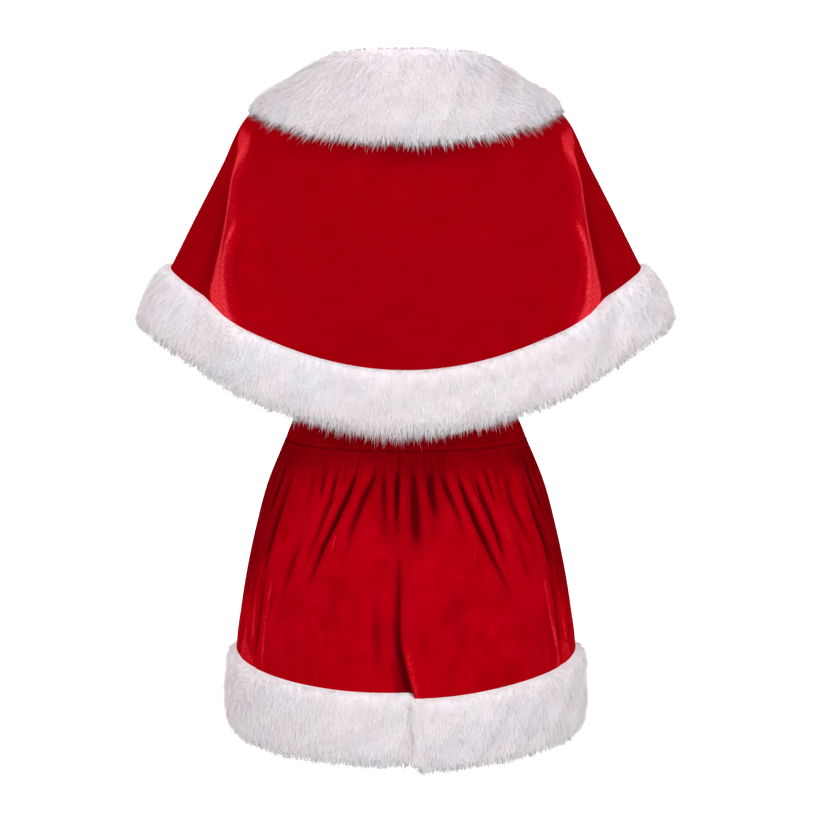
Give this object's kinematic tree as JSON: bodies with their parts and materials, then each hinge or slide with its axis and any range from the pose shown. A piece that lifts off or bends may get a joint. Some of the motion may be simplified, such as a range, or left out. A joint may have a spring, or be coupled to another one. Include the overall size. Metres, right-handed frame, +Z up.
{
  "type": "elf costume",
  "caption": "Velvet costume set, a short shoulder cape with fur collar and hem and a gathered mini skirt with fur hem, hollow as when worn.",
  "frame": {"origin": "middle of the neck opening, where the wearer's neck meets the shoulders that carry the cape", "axes": "+Z up along the wearer, -Y towards the viewer of the picture, who sees the costume's back, +X to the picture's right"},
  "size_m": [0.5792, 0.3395, 0.7393],
  "materials": {
    "velvet": "red velvet, soft sheen",
    "fur": "white faux fur, short pile"
  },
  "bodies": {
    "root": {"cape_back": "velvet", "cape_front": "velvet", "collar": "fur", "cape_trim": "fur", "waist_casing": "velvet", "skirt_back": "velvet", "skirt_front": "velvet", "skirt_trim": "fur"}
  },
  "joints": []
}
